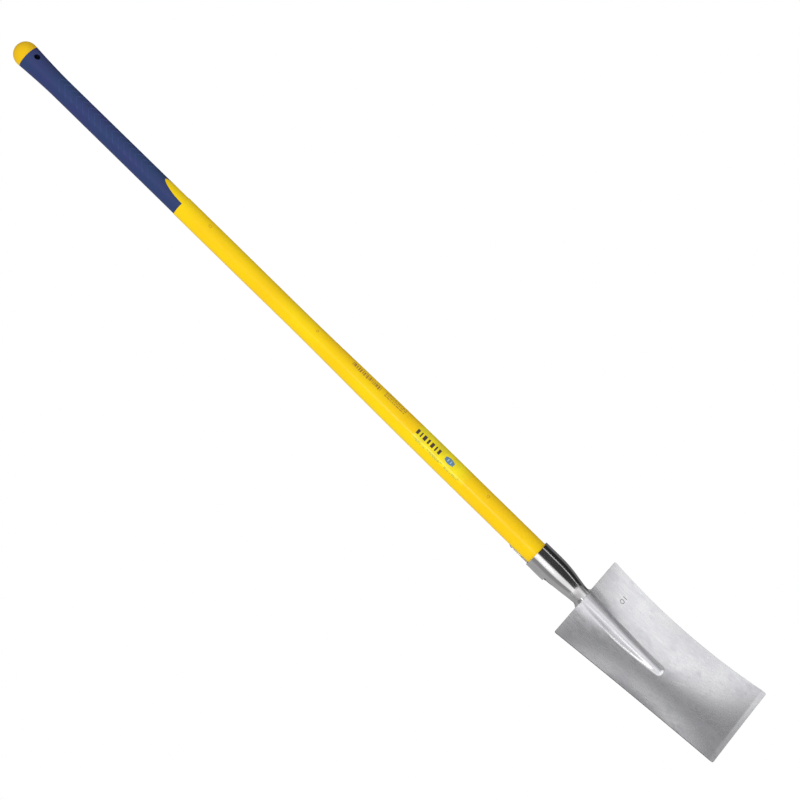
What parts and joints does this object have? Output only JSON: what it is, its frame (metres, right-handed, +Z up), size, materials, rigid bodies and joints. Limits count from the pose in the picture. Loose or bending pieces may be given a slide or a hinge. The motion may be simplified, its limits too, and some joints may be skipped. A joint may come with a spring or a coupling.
{
  "type": "garden spade",
  "caption": "Long straight-handled trenching spade: dished rectangular steel blade with a pressed rib, open socket with back strap, sheathed handle with soft grip and hang hole.",
  "frame": {"origin": "centre of the hang hole, on the handle's axis", "axes": "+Z up along the handle to the end cap, blade at -Z, the blade's hollow front faces -Y, X runs across the blade"},
  "size_m": [0.1524, 0.0666, 1.396],
  "materials": {
    "cap_plastic": "satin-gloss moulded yellow",
    "grip_rubber": "satin navy elastomer with raised chevrons",
    "handle_plastic": "glossy moulded yellow polypropylene",
    "glass_fibre": "pultruded glass fibre",
    "plug_plastic": "plain moulded plug",
    "spec_print": null,
    "maker_print": null,
    "polished_steel": "polished, clear lacquered",
    "zinc_screw": "zinc plated",
    "blade_steel": "satin ground, clear lacquered",
    "weld_steel": "as welded, brushed"
  },
  "bodies": {
    "root": {"end_cap": "cap_plastic", "grip": "grip_rubber", "sheath": "handle_plastic", "core_tube": "glass_fibre", "lower_plug": "plug_plastic", "spec_film": "spec_print", "maker_film": "maker_print", "socket_shell": "polished_steel", "back_strap": "polished_steel", "strap_screws": "zinc_screw", "blade": "blade_steel", "neck_welds": "weld_steel", "strap_weld_left": "weld_steel", "strap_weld_right": "weld_steel"}
  },
  "joints": []
}
